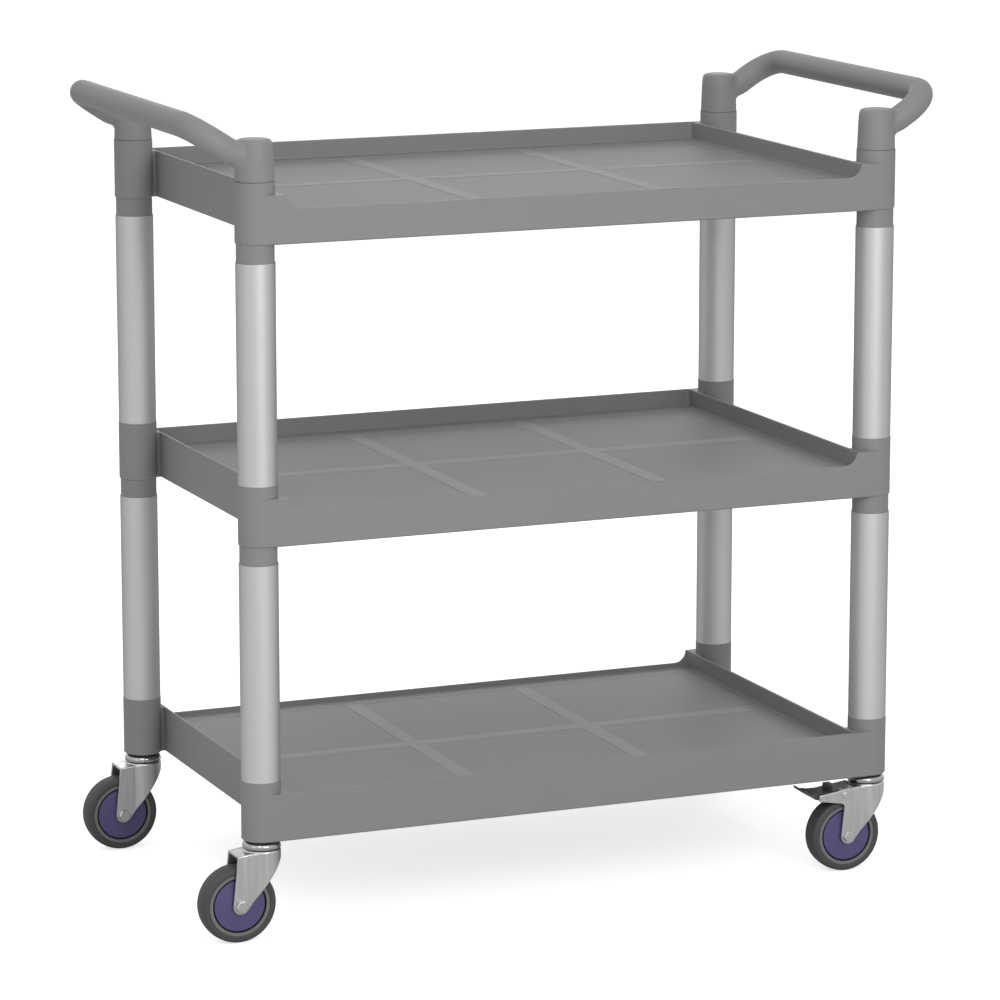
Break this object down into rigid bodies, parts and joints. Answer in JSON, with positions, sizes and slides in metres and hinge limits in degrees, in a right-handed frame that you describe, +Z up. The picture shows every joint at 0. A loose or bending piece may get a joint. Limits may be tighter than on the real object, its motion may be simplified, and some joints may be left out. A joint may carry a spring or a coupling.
{
  "type": "shelf trolley",
  "caption": "Tiered service trolley with moulded grey tray shelves on aluminium post tubes, a bow handle at each end, and swivel casters with toe brakes at one end.",
  "frame": {"origin": "on the floor, under the middle of the trolley", "axes": "+Z up, +X along the length towards the end with the brakes, +Y from the low front edge of the top shelf to its back"},
  "size_m": [0.945, 0.4738, 0.9475],
  "materials": {
    "grey_plastic": "fine even moulded grain, satin",
    "tube_aluminium": "satin anodised",
    "bright_steel": "bright plated pressing",
    "zinc_steel": "zinc plated",
    "tyre_rubber": "smooth grey rubber",
    "wheel_plastic": "moulded, satin",
    "disc_plastic": "glossy, violet blue",
    "pedal_plastic": "moulded, satin black"
  },
  "bodies": {
    "frame": {"shelf_top": "grey_plastic", "shelf_middle": "grey_plastic", "shelf_bottom": "grey_plastic", "handle_left": "grey_plastic", "handle_right": "grey_plastic", "post_tube_upper_front_left": "tube_aluminium", "connector_upper_front_left": "grey_plastic", "post_tube_upper_front_right": "tube_aluminium", "connector_upper_front_right": "grey_plastic", "post_tube_upper_back_left": "tube_aluminium", "connector_upper_back_left": "grey_plastic", "post_tube_upper_back_right": "tube_aluminium", "connector_upper_back_right": "grey_plastic", "post_tube_lower_front_left": "tube_aluminium", "connector_lower_front_left": "grey_plastic", "post_tube_lower_front_right": "tube_aluminium", "connector_lower_front_right": "grey_plastic", "post_tube_lower_back_left": "tube_aluminium", "connector_lower_back_left": "grey_plastic", "post_tube_lower_back_right": "tube_aluminium", "connector_lower_back_right": "grey_plastic", "caster_plugs": "grey_plastic", "caster_stems": "zinc_steel", "raceway_cap_front_left": "bright_steel", "raceway_cap_front_right": "bright_steel", "raceway_cap_back_left": "bright_steel", "raceway_cap_back_right": "bright_steel"},
    "caster_front_left": {"fork_front_left": "bright_steel", "axle_bolt_front_left": "zinc_steel", "axle_nut_front_left": "zinc_steel", "axle_bush_front_left": "zinc_steel"},
    "wheel_front_left": {"tyre_front_left": "tyre_rubber", "wheel_core_front_left": "wheel_plastic", "hub_discs_front_left": "disc_plastic"},
    "caster_front_right": {"fork_front_right": "bright_steel", "axle_bolt_front_right": "zinc_steel", "axle_nut_front_right": "zinc_steel", "axle_bush_front_right": "zinc_steel", "brake_pin_front_right": "zinc_steel"},
    "wheel_front_right": {"tyre_front_right": "tyre_rubber", "wheel_core_front_right": "wheel_plastic", "hub_discs_front_right": "disc_plastic"},
    "pedal_front_right": {"brake_pedal_front_right": "pedal_plastic"},
    "caster_back_left": {"fork_back_left": "bright_steel", "axle_bolt_back_left": "zinc_steel", "axle_nut_back_left": "zinc_steel", "axle_bush_back_left": "zinc_steel"},
    "wheel_back_left": {"tyre_back_left": "tyre_rubber", "wheel_core_back_left": "wheel_plastic", "hub_discs_back_left": "disc_plastic"},
    "caster_back_right": {"fork_back_right": "bright_steel", "axle_bolt_back_right": "zinc_steel", "axle_nut_back_right": "zinc_steel", "axle_bush_back_right": "zinc_steel", "brake_pin_back_right": "zinc_steel"},
    "wheel_back_right": {"tyre_back_right": "tyre_rubber", "wheel_core_back_right": "wheel_plastic", "hub_discs_back_right": "disc_plastic"},
    "pedal_back_right": {"brake_pedal_back_right": "pedal_plastic"}
  },
  "joints": [
    {"name": "swivel_front_left", "type": "hinge", "parent": "frame", "child": "caster_front_left", "pos_m": [-0.386, -0.214, 0.1055], "axis": [0, 0, 1], "continuous": true},
    {"name": "roll_front_left", "type": "hinge", "parent": "caster_front_left", "child": "wheel_front_left", "pos_m": [-0.417, -0.214, 0.045], "axis": [0, 1, 0], "continuous": true},
    {"name": "swivel_front_right", "type": "hinge", "parent": "frame", "child": "caster_front_right", "pos_m": [0.386, -0.214, 0.1055], "axis": [0, 0, 1], "continuous": true},
    {"name": "roll_front_right", "type": "hinge", "parent": "caster_front_right", "child": "wheel_front_right", "pos_m": [0.355, -0.214, 0.045], "axis": [0, 1, 0], "continuous": true},
    {"name": "brake_front_right", "type": "hinge", "parent": "caster_front_right", "child": "pedal_front_right", "pos_m": [0.351, -0.214, 0.096], "axis": [0, -1, 0], "range_deg": [0, 12]},
    {"name": "swivel_back_left", "type": "hinge", "parent": "frame", "child": "caster_back_left", "pos_m": [-0.386, 0.214, 0.1055], "axis": [0, 0, 1], "continuous": true},
    {"name": "roll_back_left", "type": "hinge", "parent": "caster_back_left", "child": "wheel_back_left", "pos_m": [-0.417, 0.214, 0.045], "axis": [0, 1, 0], "continuous": true},
    {"name": "swivel_back_right", "type": "hinge", "parent": "frame", "child": "caster_back_right", "pos_m": [0.386, 0.214, 0.1055], "axis": [0, 0, 1], "continuous": true},
    {"name": "roll_back_right", "type": "hinge", "parent": "caster_back_right", "child": "wheel_back_right", "pos_m": [0.355, 0.214, 0.045], "axis": [0, 1, 0], "continuous": true},
    {"name": "brake_back_right", "type": "hinge", "parent": "caster_back_right", "child": "pedal_back_right", "pos_m": [0.351, 0.214, 0.096], "axis": [0, -1, 0], "range_deg": [0, 12]}
  ]
}
